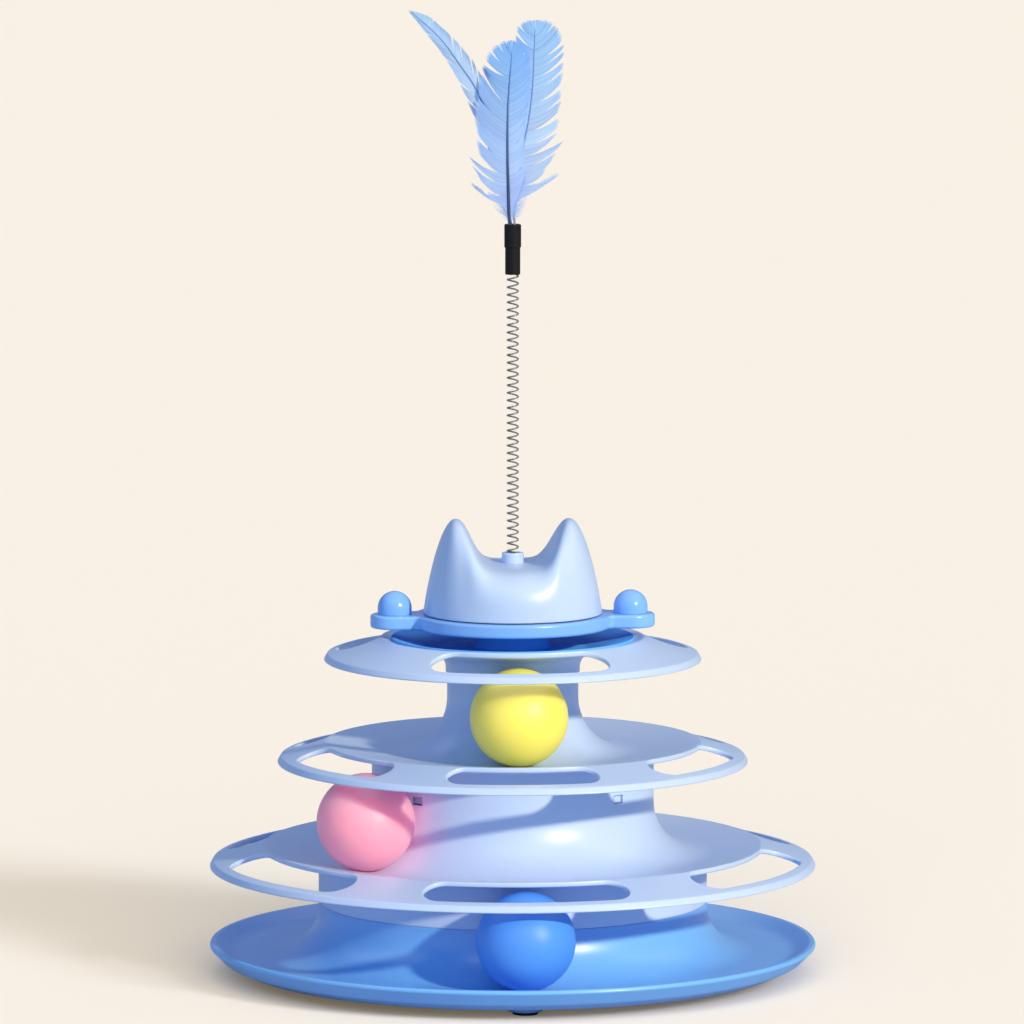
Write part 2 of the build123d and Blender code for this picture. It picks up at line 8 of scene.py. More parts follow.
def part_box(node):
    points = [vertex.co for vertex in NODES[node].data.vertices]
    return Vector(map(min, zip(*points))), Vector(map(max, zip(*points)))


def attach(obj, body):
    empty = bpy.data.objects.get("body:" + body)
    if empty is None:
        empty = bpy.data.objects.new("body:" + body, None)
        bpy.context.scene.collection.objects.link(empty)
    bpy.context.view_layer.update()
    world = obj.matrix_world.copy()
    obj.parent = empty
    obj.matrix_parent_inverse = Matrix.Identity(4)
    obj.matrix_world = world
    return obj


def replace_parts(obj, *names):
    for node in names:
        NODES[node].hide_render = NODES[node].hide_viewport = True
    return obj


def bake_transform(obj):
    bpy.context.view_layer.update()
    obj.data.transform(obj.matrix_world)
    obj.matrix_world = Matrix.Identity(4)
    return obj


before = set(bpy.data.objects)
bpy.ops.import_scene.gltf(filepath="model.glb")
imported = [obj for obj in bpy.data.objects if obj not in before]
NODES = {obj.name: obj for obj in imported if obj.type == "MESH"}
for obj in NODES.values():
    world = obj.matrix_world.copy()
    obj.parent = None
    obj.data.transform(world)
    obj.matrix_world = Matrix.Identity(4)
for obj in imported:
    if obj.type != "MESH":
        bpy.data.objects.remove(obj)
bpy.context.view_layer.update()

MM = 0.001
scene = bpy.context.scene


# Materials
def srgb(r, g, b):
    """Linear colour of an 8-bit display colour."""
    def linear(v):
        v /= 255
        return v / 12.92 if v <= 0.04045 else ((v + 0.055) / 1.055) ** 2.4
    return (linear(r), linear(g), linear(b), 1)


def shade(colour, factor):
    """A colour made darker or lighter."""
    r, g, b = colour[:3]
    return (r * factor, g * factor, b * factor, 1)


class Net:
    """A material and its node tree."""

    def __init__(self, name):
        self.mat = bpy.data.materials.new(name)
        self.mat.use_nodes = True
        self.tree = self.mat.node_tree
        self.tree.nodes.clear()
        self.out = self.add("ShaderNodeOutputMaterial")
        self.coord = self.add("ShaderNodeTexCoord").outputs["Object"]

    def add(self, kind, **values):
        node = self.tree.nodes.new(kind)
        for key, value in values.items():
            setattr(node, key, value)
        return node

    def put(self, node, **sockets):
        """Sets or links sockets by name; an underscore stands for a space."""
        for key, value in sockets.items():
            self.give(value, node.inputs[key.replace("_", " ")])
        return node

    def give(self, value, socket):
        if isinstance(value, bpy.types.NodeSocket):
            self.tree.links.new(value, socket)
        else:
            socket.default_value = value

    def noise(self, scale, detail=2.0, rough=0.5):
        node = self.add("ShaderNodeTexNoise")
        self.put(node, Vector=self.coord, Scale=scale, Detail=detail, Roughness=rough)
        return node.outputs["Fac"]

    def span(self, value, low, high, start=0.0, end=1.0):
        node = self.add("ShaderNodeMapRange")
        self.put(node, Value=value, From_Min=start, From_Max=end, To_Min=low, To_Max=high)
        return node.outputs["Result"]

    def mix(self, fac, a, b):
        node = self.add("ShaderNodeMix", data_type="RGBA")
        for index, value in ((0, fac), (6, a), (7, b)):
            self.give(value, node.inputs[index])
        return node.outputs[2]

    def bump(self, height, strength, distance, normal=None):
        node = self.add("ShaderNodeBump")
        self.put(node, Height=height, Strength=strength, Distance=distance)
        if normal is not None:
            self.put(node, Normal=normal)
        return node.outputs["Normal"]

    def done(self, shader):
        self.tree.links.new(shader, self.out.inputs["Surface"])
        return self.mat


def moulded(name, colour, rough, sss=0.0, spread=(4, 3, 3), grain=900.0, coat=0.0, gloss=0.5, edge=0.0007):
    """Injection-moulded plastic: faint flow marks, fine spark grain and softened edges."""
    net = Net(name)
    flow = net.noise(9.0, 3.0)
    fine = net.noise(grain)
    dust = net.noise(160.0, 4.0, 0.65)
    r, g, b, _ = colour
    dark = (r * 0.94, g * 0.955, b * 0.97, 1)
    tint = net.mix(net.span(flow, 0.0, 1.0, 0.3, 0.7), dark, colour)
    tint = net.mix(net.span(dust, 0.0, 0.10, 0.45, 0.75), tint, dark)
    soft = net.put(net.add("ShaderNodeBevel", samples=4), Radius=edge)
    normal = net.bump(fine, 0.10, 0.00002, soft.outputs["Normal"])
    normal = net.bump(flow, 0.06, 0.0005, normal)
    skin = net.add("ShaderNodeBsdfPrincipled")
    net.put(skin, Base_Color=tint, Roughness=net.span(dust, rough - 0.05, rough + 0.06), Normal=normal)
    net.put(skin, Specular_IOR_Level=gloss, Coat_Weight=coat, Coat_Roughness=0.25)
    if sss:
        net.put(skin, Subsurface_Weight=sss, Subsurface_Scale=MM, Subsurface_Radius=spread)
    return net.done(skin.outputs["BSDF"])


def rubber(name, colour):
    """Matt black rubber with a fine skin and a little wear."""
    net = Net(name)
    fine = net.noise(1400.0, 3.0)
    wear = net.noise(220.0, 4.0)
    tint = net.mix(net.span(wear, 0.0, 0.5, 0.4, 0.8), colour, shade(colour, 1.7))
    skin = net.add("ShaderNodeBsdfPrincipled")
    net.put(skin, Base_Color=tint, Roughness=net.span(wear, 0.5, 0.68), Specular_IOR_Level=0.2)
    net.put(skin, Normal=net.bump(fine, 0.25, 0.00006))
    return net.done(skin.outputs["BSDF"])


def steel(name, colour, rough):
    """Drawn wire or plated steel."""
    net = Net(name)
    fine = net.noise(2600.0)
    tone = net.noise(300.0, 3.0)
    tint = net.mix(net.span(tone, 0.0, 1.0, 0.3, 0.7), shade(colour, 0.8), colour)
    skin = net.add("ShaderNodeBsdfPrincipled")
    net.put(skin, Base_Color=tint, Metallic=1.0, Roughness=net.span(fine, rough - 0.06, rough + 0.1))
    net.put(skin, Normal=net.bump(fine, 0.15, 0.00002))
    return net.done(skin.outputs["BSDF"])


def plume(name):
    """Dyed feather: each barb carries its own tone, thin and slightly see-through."""
    net = Net(name)
    dye = net.add("ShaderNodeAttribute", attribute_name="dye").outputs["Color"]
    fine = net.noise(3000.0)
    tint = net.mix(net.span(fine, 0.0, 0.16, 0.3, 0.7), dye, srgb(214, 230, 253))
    face = net.add("ShaderNodeBsdfPrincipled")
    net.put(face, Base_Color=tint, Roughness=0.62, Specular_IOR_Level=0.25, Sheen_Weight=0.2)
    net.put(face, Normal=net.bump(fine, 0.2, 0.00005))
    through = net.put(net.add("ShaderNodeBsdfTranslucent"), Color=tint)
    both = net.put(net.add("ShaderNodeMixShader"), Fac=0.35)
    net.give(face.outputs["BSDF"], both.inputs[1])
    net.give(through.outputs["BSDF"], both.inputs[2])
    return net.done(both.outputs["Shader"])


PALE = moulded("pale_plastic", (0.490, 0.632, 0.905, 1), 0.36, sss=0.12, coat=0.35, gloss=0.8)
BLUE = moulded("blue_plastic", (0.155, 0.435, 0.910, 1), 0.34, sss=0.05, coat=0.40, gloss=0.8)
# The arm's plastic is a lighter copy of the blue plastic: painted light for the key light on the arm's
# front
ARM_LIT_BLUE = moulded("arm_plastic_painted_light", (0.200, 0.460, 0.930, 1), 0.30, sss=0.05, coat=0.45, gloss=0.8)
NAVY = moulded("spindle_plastic", (0.125, 0.450, 0.970, 1), 0.55, gloss=0.1, edge=0.0002)
KNOB = moulded("knob_plastic", (0.185, 0.430, 0.960, 1), 0.24, sss=0.06, coat=0.3)
BALL_B = moulded("ball_blue", (0.062, 0.270, 0.880, 1), 0.42, sss=0.05, grain=700.0, gloss=0.55)
BALL_P = moulded(
    "ball_pink", (0.990, 0.375, 0.510, 1), 0.42, sss=1.0, spread=(20, 8, 10), grain=700.0, gloss=1.0,
)
BALL_Y = moulded(
    "ball_yellow", (0.870, 0.790, 0.125, 1), 0.42, sss=1.0, spread=(13, 11, 4), grain=700.0, gloss=1.0,
)
BLACK = rubber("black_rubber", (0.006, 0.006, 0.006, 1))
FOOT = rubber("foot_rubber", (0.010, 0.010, 0.010, 1))
WIRE = steel("spring_wire", (0.36, 0.34, 0.29, 1), 0.28)
ZINC = steel("screw_steel", (0.62, 0.62, 0.60, 1), 0.30)
PLUME = plume("feather")

FINISH = {
    "base_tray": BLUE, "lower_track": PALE, "middle_track": PALE, "top_plate": PALE,
    "spindle": NAVY, "spinner_arm": ARM_LIT_BLUE, "knob_left": KNOB, "knob_right": KNOB,
    "cat_head": PALE, "spring_plug": PALE, "screw_washer": ZINC, "head_screw": ZINC,
    "spring_sleeve": BLACK, "feather_cap": BLACK,
    "foot_pad_front": FOOT, "foot_pad_right": FOOT, "foot_pad_back": FOOT, "foot_pad_left": FOOT,
    "ball_blue": BALL_B, "ball_pink": BALL_P, "ball_yellow": BALL_Y,
}
for node, finish in FINISH.items():
    mesh = NODES[node].data
    mesh.materials.clear()
    mesh.materials.append(finish)


# Mesh helpers
def build(name, verts, faces, material):
    """Smooth object in the scene, made from points and faces."""
    mesh = bpy.data.meshes.new(name)
    mesh.from_pydata([tuple(v) for v in verts], [], faces)
    mesh.update()
    mesh.materials.append(material)
    for poly in mesh.polygons:
        poly.use_smooth = True
    obj = bpy.data.objects.new(name, mesh)
    scene.collection.objects.link(obj)
    return obj


def tube(path, radii, sides):
    """Round closed tube along points, as (verts, faces)."""
    verts, faces = [], []
    last = len(path) - 1
    across = (path[1] - path[0]).orthogonal()
    for i, point in enumerate(path):
        ahead = (path[min(i + 1, last)] - path[max(i - 1, 0)]).normalized()
        across = (across - ahead * across.dot(ahead)).normalized()
        other = ahead.cross(across)
        for k in range(sides):
            a = 2 * math.pi * k / sides
            verts.append(point + (across * math.cos(a) + other * math.sin(a)) * radii[i])
    for i in range(last):
        for k in range(sides):
            a, b = i * sides + k, i * sides + (k + 1) % sides
            faces.append((a, b, b + sides, a + sides))
    faces.append(tuple(reversed(range(sides))))
    faces.append(tuple(range(last * sides, len(path) * sides)))
    return verts, faces


# Spring: one coil, in two halves
COIL_TURNS = 40
STEPS_PER_TURN = 36
WIRE_R = 0.34 * MM
WIRE_SIDES = 10
STRAIGHT_HALF = 3 * MM
low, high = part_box("spring")
coil_r = (high.x - low.x) / 2 - WIRE_R
coil_z0, coil_z1 = low.z + WIRE_R, high.z - WIRE_R
coil_mid = (coil_z0 + coil_z1) / 2


def coil(first, last):
    """Wire of the spring from one turn to another, as (verts, faces)."""
    path = []
    steps = int((last - first) * STEPS_PER_TURN)
    for k in range(steps + 1):
        turns = first + (last - first) * k / steps
        angle = 2 * math.pi * turns
        height = coil_z0 + (coil_z1 - coil_z0) * turns / COIL_TURNS
        path.append(Vector((coil_r * math.cos(angle), coil_r * math.sin(angle), height)))
    return tube(path, [WIRE_R] * len(path), WIRE_SIDES)


plug_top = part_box("spring_plug")[1].z
sleeve_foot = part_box("spring_sleeve")[0].z
for name, first, last, bodies, start, end in (
    ("spring_lower", 0, COIL_TURNS / 2, ("tower", "wand"), plug_top, coil_mid - STRAIGHT_HALF),
    ("spring_upper", COIL_TURNS / 2, COIL_TURNS, ("wand", "teaser"), coil_mid + STRAIGHT_HALF, sleeve_foot),
):
    piece = build(name, *coil(first, last), WIRE)
    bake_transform(piece)
    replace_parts(piece, "spring")


# Feathers, in mm. Shafts and edges are lists of (share of the shaft, x, z), seen from the front.
# Splits are lists of (share of the shaft, width of the gap, depth as a share of the barb).
DYE_TOP, DYE_MID, DYE_LOW = srgb(128, 188, 252), srgb(166, 205, 254), srgb(186, 211, 255)
DYE_PALE = srgb(226, 243, 254)
STEM_DARK, STEM_MID, STEM_PALE = srgb(38, 62, 120), srgb(112, 152, 222), srgb(140, 178, 228)
# Barbs on one side of a whole feather, and steps along each barb
BARBS, ROWS = 210, 9
# Sag of a barb as a share of its reach, what is added at the foot, and the curve to the back
BOW, LOW_BOW = 0.10, 0.20
CUP = 0.006
# How far lobes and barbs lift out of the vane, and how much their tones differ
LOBE_LIFT, BARB_LIFT = 0.5, 0.08
LOBE_TONE, BARB_TONE = 0.07, 0.07
# Shares of a barb: the shortest, what a split takes for each mm of its gap, and the narrowing at the tip
SHORTEST, SPLIT_LOSS, POINTED = 0.955, 0.035, 0.6
# Share of the shaft to each side, for the direction of a line
NEARBY = 0.02
# Loose hairs, steps along each, and the bare shaft in mm that a share of one stands for
HAIRS, HAIR_ROWS = 190, 5
BARE_QUILL = 55
# Shaft: depth in the cap, how far it stands before the vane, and radius at the tip
QUILL_IN_CAP, STEM_PROUD, STEM_TIP = 4.5, 0.12, 0.08
QUILL_STEPS, SHAFT_STEPS, STEM_SIDES = 9, 48, 8
CAP_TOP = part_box("feather_cap")[1].z / MM


def blend_dye(a, b, share):
    """Colour between two dyes."""
    share = min(max(share, 0), 1)
    return [a[i] + (b[i] - a[i]) * share for i in range(3)]


def on_line(points, t):
    """Point at share t of a smooth line through points."""
    t = min(max(t, points[0][0]), points[-1][0])
    k = 0
    while k < len(points) - 2 and t > points[k + 1][0]:
        k += 1
    before, here = points[max(k - 1, 0)], points[k]
    there, after = points[k + 1], points[min(k + 2, len(points) - 1)]
    span = there[0] - here[0]
    u = (t - here[0]) / span
    found = []
    for axis in (1, 2):
        leave = (there[axis] - before[axis]) / (there[0] - before[0]) * span
        reach = (after[axis] - here[axis]) / (after[0] - here[0]) * span
        found.append(
            (2 * u ** 3 - 3 * u ** 2 + 1) * here[axis] + (u ** 3 - 2 * u ** 2 + u) * leave
            + (3 * u ** 2 - 2 * u ** 3) * there[axis] + (u ** 3 - u ** 2) * reach
        )
    return Vector(found)


class Ribbons:
    """Thin ribbons in one mesh, with a dye on each point."""

    def __init__(self):
        self.verts, self.faces, self.dyes = [], [], []

    def add(self, one, other, dyes):
        first = len(self.verts)
        for a, b, dye in zip(one, other, dyes):
            self.verts += [a * MM, b * MM]
            self.dyes += [dye, dye]
        for k in range(first, len(self.verts) - 2, 2):
            self.faces.append((k, k + 1, k + 3, k + 2))


def vane(ribbons, shaft, edge, splits, depth, pale, rng):
    """One side of a feather. Barbs rise from the shaft to the edge and part in a V at each split."""
    ends = [(0.0, 0.0, 0.3)] + splits + [(1.0, 0.0, 0.3)]

    def barb_side(t, lobe, length, lift):
        (a, gap_a, deep_a), (b, gap_b, deep_b) = lobe
        root, tip = on_line(shaft, t), on_line(edge, t)
        along = (on_line(edge, t + NEARBY) - on_line(edge, t - NEARBY)).normalized()
        ahead = (on_line(shaft, t + NEARBY) - on_line(shaft, t - NEARBY)).normalized()
        reach = (tip - root).length
        late = (t - a) / (b - a)
        early = 1 - late
        points = []
        for row in range(ROWS + 1):
            v = length * row / ROWS
            part_a = gap_a / 2 * early ** 2 * max(0, (v - 1 + deep_a) / deep_a)
            part_b = gap_b / 2 * late ** 2 * max(0, (v - 1 + deep_b) / deep_b)
            flat = root + (tip - root) * v + along * (part_a - part_b)
            flat -= ahead * (4 * (BOW + LOW_BOW * max(0, 1 - 4 * t)) * v * (1 - v) * reach)
            points.append(Vector((flat.x, depth + CUP * (v * reach) ** 2 + lift * v * v, flat.y)))
        return points

    for lobe in zip(ends, ends[1:]):
        (a, gap_a, _), (b, gap_b, _) = lobe
        count = max(3, round(BARBS * (b - a)))
        lift = rng.uniform(-LOBE_LIFT, LOBE_LIFT)
        cast = rng.uniform(-LOBE_TONE, LOBE_TONE)
        for i in range(count):
            late = (i + 0.5) / count
            length = rng.uniform(SHORTEST, 1.0)
            length *= 1 - SPLIT_LOSS * (gap_a * (1 - late) ** 2 + gap_b * late ** 2)
            one = barb_side(a + (b - a) * i / count, lobe, length, lift - BARB_LIFT)
            other = barb_side(a + (b - a) * (i + 1) / count, lobe, length, lift + BARB_LIFT)
            middle = (one[-1] + other[-1]) / 2
            one[-1], other[-1] = one[-1].lerp(middle, POINTED), other[-1].lerp(middle, POINTED)
            t = a + (b - a) * late
            tone = 1 + cast + rng.gauss(0, BARB_TONE)
            dye = blend_dye(DYE_LOW, DYE_MID, t * 1.5)
            dye = blend_dye(dye, DYE_TOP, (t - 0.5) * 2.0)
            dye = blend_dye(dye, DYE_PALE, pale)
            ribbons.add(one, other, [[min(c * tone, 1) for c in dye]] * (ROWS + 1))


def hairs(ribbons, shaft, depth, rng):
    """Loose down round the foot of the vane."""
    for _ in range(HAIRS):
        t = rng.uniform(-0.05, 0.16)
        root = on_line(shaft, max(t, 0)) + Vector((0, BARE_QUILL * min(t, 0)))
        way = rng.choice((-1, 1))
        run = rng.uniform(2.0, 10.0)
        rise = rng.uniform(0.1, 1.1)
        sway = rng.uniform(-0.9, 0.9)
        one, other = [], []
        for row in range(HAIR_ROWS + 1):
            v = row / HAIR_ROWS
            x = root.x + way * run * v * (1 - 0.3 * v)
            z = root.y + run * (rise * v + 0.3 * v * v)
            wide = 0.06 * (1 - v) + 0.012
            one.append(Vector((x, depth + sway * v, z - wide)))
            other.append(Vector((x, depth + sway * v, z + wide)))
        ribbons.add(one, other, [DYE_LOW[:3]] * (HAIR_ROWS + 1))


def stem_tube(shaft, quill, depth, stem, tones):
    """Shaft of a feather, from inside the cap to near the tip, as a tube with its tones."""
    path, radii, dyes = [], [], []
    foot = Vector((quill[0], quill[1], CAP_TOP - QUILL_IN_CAP))
    start = on_line(shaft, 0)
    for k in range(QUILL_STEPS):
        f = k / QUILL_STEPS
        ease = f * f * (3 - 2 * f)
        path.append(Vector((
            foot.x + (start.x - foot.x) * ease,
            foot.y + (depth - foot.y) * ease,
            foot.z + (start.y - foot.z) * f,
        )) * MM)
    for k in range(SHAFT_STEPS + 1):
        flat = on_line(shaft, k / SHAFT_STEPS)
        path.append(Vector((flat.x, depth - STEM_PROUD, flat.y)) * MM)
    for k in range(len(path)):
        t = k / (len(path) - 1)
        radii.append((stem * (1 - t) ** 0.75 + STEM_TIP) * MM)
        dyes.append(blend_dye(*tones, 1.5 * t - 0.45))
    return *tube(path, radii, STEM_SIDES), [dye for dye in dyes for _ in range(STEM_SIDES)]


def dyed(name, verts, faces, dyes):
    """Piece of a feather, with a dye on each point."""
    piece = build(name, verts, faces, PLUME)
    layer = piece.data.color_attributes.new("dye", "FLOAT_COLOR", "POINT")
    for spot, (r, g, b) in zip(layer.data, dyes):
        spot.color = (r, g, b, 1)
    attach(piece, "teaser")
    return piece


def feather(name, node, quill, depth, pale, stem, tones, shaft, edges, splits, seed):
    """Feather in place of a CAD feather: vane and down in one piece, and its shaft in another."""
    rng = random.Random(seed)
    ribbons = Ribbons()
    for edge, parting in zip(edges, splits):
        vane(ribbons, shaft, edge, parting, depth, pale, rng)
    hairs(ribbons, shaft, depth, rng)
    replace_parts(dyed(name, ribbons.verts, ribbons.faces, ribbons.dyes), node)
    dyed(name + "_shaft", *stem_tube(shaft, quill, depth, stem, tones))


feather(
    "plume_left", "feather_left", quill=(-1.15, 0.66), depth=1.6,
    pale=0.38, stem=0.45, tones=(STEM_MID, STEM_PALE),
    shaft=[(0, -1.7, 315), (0.3, -6.0, 340), (0.55, -14.0, 363.4), (0.7, -20.9, 374.3),
           (0.85, -29.6, 386.0), (1, -41.0, 396.6)],
    edges=[
        [(0, -2.6, 319), (0.15, -8.0, 336), (0.31, -16.0, 353.6), (0.46, -20.3, 363.9), (0.6, -24.7, 372.3),
         (0.73, -30.7, 381.9), (0.82, -35.0, 387.1), (0.92, -39.4, 393.0), (1, -42.6, 397.0)],
        [(0, -0.8, 319), (0.2, -1.5, 340), (0.4, -7.0, 362), (0.5, -13.3, 372.6), (0.57, -16.3, 377.6),
         (0.65, -19.6, 381.4), (0.75, -24.0, 386.4), (0.85, -29.6, 391.3), (0.93, -34.6, 395.2),
         (1, -42.4, 397.5)],
    ],
    splits=[
        [(0.24, 1.6, 0.5), (0.34, 2.0, 0.6), (0.44, 2.2, 0.6), (0.54, 1.8, 0.6), (0.68, 1.2, 0.5),
         (0.84, 0.7, 0.4)],
        [(0.45, 1.6, 0.6), (0.535, 1.8, 0.7), (0.6, 1.6, 0.7), (0.7, 1.2, 0.6), (0.77, 1.6, 0.6),
         (0.9, 0.6, 0.4)],
    ],
    seed=11,
)
feather(
    "plume_centre", "feather_centre", quill=(0.0, -1.33), depth=-2.0,
    pale=0.0, stem=0.66, tones=(STEM_DARK, STEM_MID),
    shaft=[(0, -1.6, 314), (0.17, -1.9, 325.4), (0.4, -2.2, 340.7), (0.67, -2.0, 358.1),
           (0.83, -1.3, 369.0), (1, -0.4, 380.5)],
    edges=[
        [(0, -3.1, 318.3), (0.05, -8.6, 323.8), (0.1, -19.5, 330.2), (0.15, -17.6, 334.2),
         (0.21, -19.4, 339.7), (0.27, -16.2, 343.5), (0.4, -15.9, 352.2), (0.54, -15.2, 362),
         (0.67, -13.2, 373.5), (0.83, -12.6, 376.4), (0.89, -10.2, 381.0), (0.95, -5.6, 384.4),
         (1, -0.4, 385.6)],
        [(0, 0.2, 315.6), (0.1, 4.5, 326.5), (0.17, 5.9, 331.9), (0.33, 5.2, 341), (0.5, 6.1, 354.8),
         (0.63, 7.4, 362.4), (0.85, 7.4, 377.7), (0.94, 5.6, 383.4), (1, -0.2, 385.6)],
    ],
    splits=[
        [(0.07, 3.0, 0.7), (0.125, 6.0, 0.85), (0.19, 3.0, 0.7), (0.235, 4.6, 0.74), (0.33, 2.4, 0.6),
         (0.43, 1.2, 0.4), (0.56, 1.6, 0.5), (0.675, 1.4, 0.85), (0.845, 2.2, 0.8), (0.9, 1.0, 0.5),
         (0.945, 0.7, 0.4), (0.975, 0.5, 0.3)],
        [(0.24, 1.2, 0.5), (0.41, 1.6, 0.6), (0.56, 1.4, 0.6), (0.7, 0.8, 0.4), (0.83, 1.0, 0.5),
         (0.92, 0.9, 0.5)],
    ],
    seed=23,
)
feather(
    "plume_right", "feather_right", quill=(1.15, 0.66), depth=1.0,
    pale=0.16, stem=0.40, tones=(STEM_PALE, STEM_PALE),
    shaft=[(0, 0.6, 314), (0.15, 1.9, 325.2), (0.35, 4.3, 340.4), (0.53, 6.8, 353.5), (0.69, 8.2, 365.5),
           (0.88, 8.8, 379.6), (1, 9.2, 389.5)],
    edges=[
        [(0, 0.2, 316), (0.25, -1.0, 342), (0.5, -0.6, 362), (0.75, 0.2, 378), (0.88, 0.9, 387.5),
         (0.94, 1.9, 391.1), (0.98, 5.2, 393.0), (1, 9.2, 393.5)],
        [(0, 0.9, 315.4), (0.06, 5.2, 325.7), (0.13, 21.0, 333.3), (0.2, 17.0, 335.5),
         (0.28, 22.7, 345.6), (0.34, 19.4, 346.9), (0.42, 20.3, 353.5), (0.55, 20.7, 363.3),
         (0.67, 21.3, 372.8), (0.78, 21.8, 380.7), (0.85, 21.4, 385.4), (0.91, 18.3, 391.0),
         (0.96, 15.0, 392.9), (1, 9.4, 393.5)],
    ],
    splits=[
        [(0.35, 1.0, 0.5), (0.62, 1.2, 0.5), (0.84, 1.6, 0.7), (0.9, 1.6, 0.7), (0.95, 0.8, 0.4)],
        [(0.09, 3.0, 0.7), (0.165, 6.5, 0.84), (0.25, 2.6, 0.7), (0.31, 5.4, 0.78), (0.37, 2.2, 0.7),
         (0.45, 3.2, 0.78), (0.53, 1.4, 0.5), (0.6, 2.6, 0.72), (0.68, 1.4, 0.6), (0.745, 2.4, 0.72),
         (0.8, 1.6, 0.55), (0.845, 2.0, 0.6), (0.93, 0.7, 0.4)],
    ],
    seed=31,
)


# Balls. The parting line's half width and depth are shares of the radius
BALL_RINGS, BALL_STEPS = 64, 96
SEAM_HALF, SEAM_DEPTH = 0.03, 0.0016
SEAM_TILT = Matrix.Rotation(math.radians(38), 3, "X") @ Matrix.Rotation(math.radians(25), 3, "Y")


def globe(centre, radius):
    """Sphere with a fine groove round its tilted equator, as (verts, faces)."""
    spots = [Vector((0, 0, 1))]
    for ring in range(1, BALL_RINGS):
        polar = math.pi * ring / BALL_RINGS
        for step in range(BALL_STEPS):
            turn = 2 * math.pi * step / BALL_STEPS
            out = math.sin(polar)
            spot = Vector((out * math.cos(turn), out * math.sin(turn), math.cos(polar)))
            spots.append(spot * (1 - SEAM_DEPTH) if abs(spot.z) < SEAM_HALF else spot)
    spots.append(Vector((0, 0, -1)))
    last = len(spots) - 1
    below = last - BALL_STEPS - 1
    faces = []
    for step in range(BALL_STEPS):
        here, beside = 1 + step, 1 + (step + 1) % BALL_STEPS
        faces.append((0, here, beside))
        for ring in range(BALL_RINGS - 2):
            a, b = here + ring * BALL_STEPS, beside + ring * BALL_STEPS
            faces.append((a, a + BALL_STEPS, b + BALL_STEPS, b))
        faces.append((last, below + beside, below + here))
    return [centre + SEAM_TILT @ spot * radius for spot in spots], faces


def ball(name, node, finish, body):
    """Round play ball with the fine parting line of its two half shells."""
    low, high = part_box(node)
    obj = build(name, *globe((low + high) / 2, (high.x - low.x) / 2), finish)
    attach(obj, body)
    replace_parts(obj, node)
    return obj


BALLS = [
    ball("play_ball_blue", "ball_blue", BALL_B, "ball_low"),
    ball("play_ball_pink", "ball_pink", BALL_P, "ball_mid"),
    ball("play_ball_yellow", "ball_yellow", BALL_Y, "ball_high"),
]


# Studio
scene.view_settings.view_transform = "Standard"
BACK = srgb(250, 242, 231)
FILL, FILL_COLOUR = 0.48, (0.50, 0.66, 1.00, 1)
# Strength of the soft box, and the heights on the sky's unit sphere where it starts and is full
SOFT_BOX, BOX_LOW, BOX_HIGH = 1.3, 0.45, 0.80
FLOOR, FLOOR_SPECK = (0.905, 0.818, 0.708, 1), (0.87, 0.78, 0.67, 1)
FLOOR_LIFT = (0.130, 0.102, 0.056, 1)
FLOOR_THROWN = (0.44, 0.50, 0.60, 1)
FLOOR_HALF = 30
LAMP_AWAY = 3
# Key light in degrees, to the right of the front and up
KEY_SIDE, KEY_UP = 38, 24
# Place of the glow's lamp, as shares of the ball's place
GLOW_INWARD = Vector((0.88, 0.88, 1.0))
GLOW_SIZE = 8 * MM


def studio_world():
    """Plain backdrop for the camera, an even cool fill, and a soft box overhead that shows in gloss."""
    world = bpy.data.worlds.new("studio")
    scene.world = world
    world.use_nodes = True
    nodes, link = world.node_tree.nodes, world.node_tree.links.new
    nodes.clear()
    rays = nodes.new("ShaderNodeLightPath").outputs
    seen = nodes.new("ShaderNodeBackground")
    seen.inputs["Color"].default_value = BACK
    fill = nodes.new("ShaderNodeBackground")
    fill.inputs["Color"].default_value = FILL_COLOUR
    fill.inputs["Strength"].default_value = FILL
    height = nodes.new("ShaderNodeSeparateXYZ")
    link(nodes.new("ShaderNodeTexCoord").outputs["Generated"], height.inputs[0])
    overhead = nodes.new("ShaderNodeMapRange")
    for socket, value in (("From Min", BOX_LOW), ("From Max", BOX_HIGH), ("To Max", SOFT_BOX)):
        overhead.inputs[socket].default_value = value
    link(height.outputs["Z"], overhead.inputs["Value"])
    gloss = nodes.new("ShaderNodeMath")
    gloss.operation = "MULTIPLY"
    link(overhead.outputs["Result"], gloss.inputs[0])
    link(rays["Is Glossy Ray"], gloss.inputs[1])
    box = nodes.new("ShaderNodeBackground")
    link(gloss.outputs["Value"], box.inputs["Strength"])
    both = nodes.new("ShaderNodeAddShader")
    link(fill.outputs["Background"], both.inputs[0])
    link(box.outputs["Background"], both.inputs[1])
    choose = nodes.new("ShaderNodeMixShader")
    link(rays["Is Camera Ray"], choose.inputs[0])
    link(both.outputs["Shader"], choose.inputs[1])
    link(seen.outputs["Background"], choose.inputs[2])
    link(choose.outputs["Shader"], nodes.new("ShaderNodeOutputWorld").inputs["Surface"])


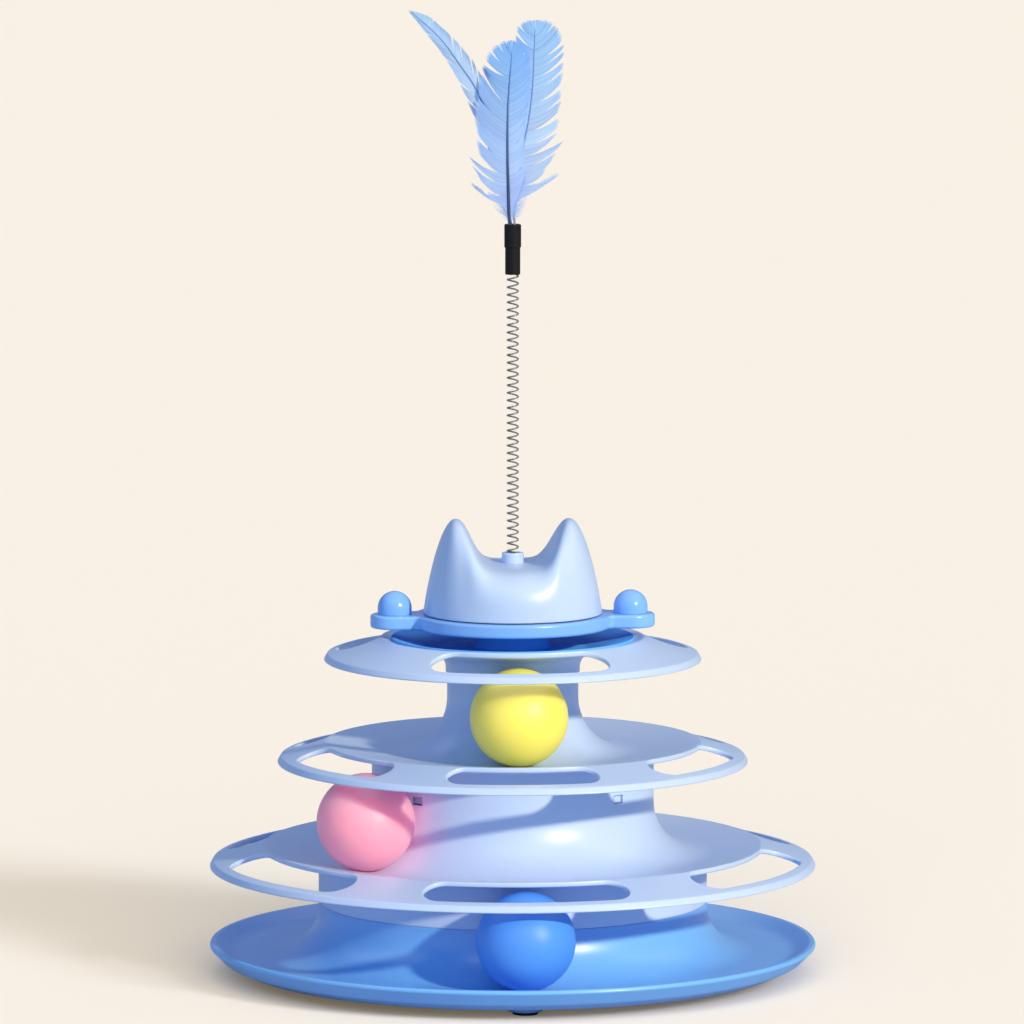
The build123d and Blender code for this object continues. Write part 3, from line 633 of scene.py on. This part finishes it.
def studio_floor():
    """Pale floor with light shadows, which throws only a dim cool light back on the object."""
    net = Net("studio_floor")
    speck = net.noise(120.0, 3.0)
    tint = net.mix(net.span(speck, 0.0, 0.02), FLOOR, FLOOR_SPECK)
    seen = net.put(net.add("ShaderNodeBsdfDiffuse"), Color=tint)
    lift = net.put(net.add("ShaderNodeEmission"), Color=FLOOR_LIFT)
    bright = net.add("ShaderNodeAddShader")
    net.give(seen.outputs["BSDF"], bright.inputs[0])
    net.give(lift.outputs["Emission"], bright.inputs[1])
    thrown = net.put(net.add("ShaderNodeBsdfDiffuse"), Color=FLOOR_THROWN)
    both = net.add("ShaderNodeMixShader")
    net.give(net.add("ShaderNodeLightPath").outputs["Is Camera Ray"], both.inputs[0])
    net.give(thrown.outputs["BSDF"], both.inputs[1])
    net.give(bright.outputs["Shader"], both.inputs[2])
    corners = [(x * FLOOR_HALF, y * FLOOR_HALF, 0) for x, y in ((-1, -1), (1, -1), (1, 1), (-1, 1))]
    ground = build("studio_ground", corners, [(0, 1, 2, 3)], net.done(both.outputs["Shader"]))
    return ground


def sun(name, azimuth, elevation, softness, strength, colour, state, pieces):
    """Distant lamp, azimuth to the right of the front, for all but some pieces or for them alone."""
    data = bpy.data.lights.new(name, "SUN")
    data.angle = math.radians(softness)
    data.energy = strength
    data.color = colour
    lamp = bpy.data.objects.new(name, data)
    scene.collection.objects.link(lamp)
    side, up = math.radians(azimuth), math.radians(elevation)
    towards = Vector((math.sin(side) * math.cos(up), -math.cos(side) * math.cos(up), math.sin(up)))
    lamp.location = towards * LAMP_AWAY
    lamp.rotation_euler = towards.to_track_quat("Z", "Y").to_euler()
    lit = bpy.data.collections.new(name + "_pieces")
    for piece in pieces:
        lit.objects.link(piece)
    lamp.light_linking.receiver_collection = lit
    for entry in lit.collection_objects:
        entry.light_linking.link_state = state
    return lamp


def glow(piece, node, colour, strength, wall):
    """Coloured light that a bright ball throws on the wall beside it. The lamp moves with the ball."""
    low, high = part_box(node)
    data = bpy.data.lights.new(node + "_glow", "POINT")
    data.energy = strength
    data.color = colour
    data.shadow_soft_size = GLOW_SIZE
    data.use_shadow = False
    lamp = bpy.data.objects.new(node + "_glow", data)
    scene.collection.objects.link(lamp)
    lamp.location = (low + high) / 2 * GLOW_INWARD
    lamp.parent = piece
    lit = bpy.data.collections.new(node + "_glow_wall")
    lit.objects.link(wall)
    lamp.light_linking.receiver_collection = lit


studio_world()
floor = [studio_floor()]
# The key light's shine is a lamp of its own, and weaker, so that less of the back clips to white
key = sun("key", KEY_SIDE, KEY_UP, 3.0, 3.9, (1.0, 0.84, 0.56), "EXCLUDE", floor)
key.visible_glossy = False
shine = sun("key_shine", KEY_SIDE, KEY_UP, 6.0, 1.9, (1.0, 0.90, 0.75), "EXCLUDE", floor)
shine.visible_diffuse = False
shine.visible_transmission = False
sun("front_fill", -30, 8, 100, 0.75, (0.45, 0.70, 1.0), "EXCLUDE", floor)
sun("ball_fill", -5, 20, 80, 0.95, (1.0, 0.66, 0.42), "INCLUDE", BALLS)
sun("floor_wash", 0, 32, 60, 2.55, (1.0, 0.87, 0.55), "INCLUDE", floor)
glow(BALLS[1], "ball_pink", (1.0, 0.20, 0.30), 0.006, NODES["lower_track"])
sun("floor_shadow", 42, 24, 15, 2.4, (0.76, 0.83, 1.0), "INCLUDE", floor)


# Camera
CAMERA_AWAY, CAMERA_UP, AIM_UP = 3.5, 0.600, 0.190
SWING = math.radians(-3)
PIXELS_FOCAL, PIXELS_WIDE = 8593, 1024
SENSOR = 36
SHIFT_X, SHIFT_Y = -0.0007, 0.0036
data = bpy.data.cameras.new("camera")
camera = bpy.data.objects.new("camera", data)
scene.collection.objects.link(camera)
camera.location = (CAMERA_AWAY * math.sin(SWING), -CAMERA_AWAY * math.cos(SWING), CAMERA_UP)
aim = Vector((0, 0, AIM_UP)) - camera.location
camera.rotation_euler = aim.to_track_quat("-Z", "Y").to_euler()
data.sensor_fit = "HORIZONTAL"
data.sensor_width = SENSOR
data.lens = SENSOR * PIXELS_FOCAL / PIXELS_WIDE
data.shift_x = SHIFT_X
data.shift_y = SHIFT_Y
data.clip_end = 100
scene.camera = camera
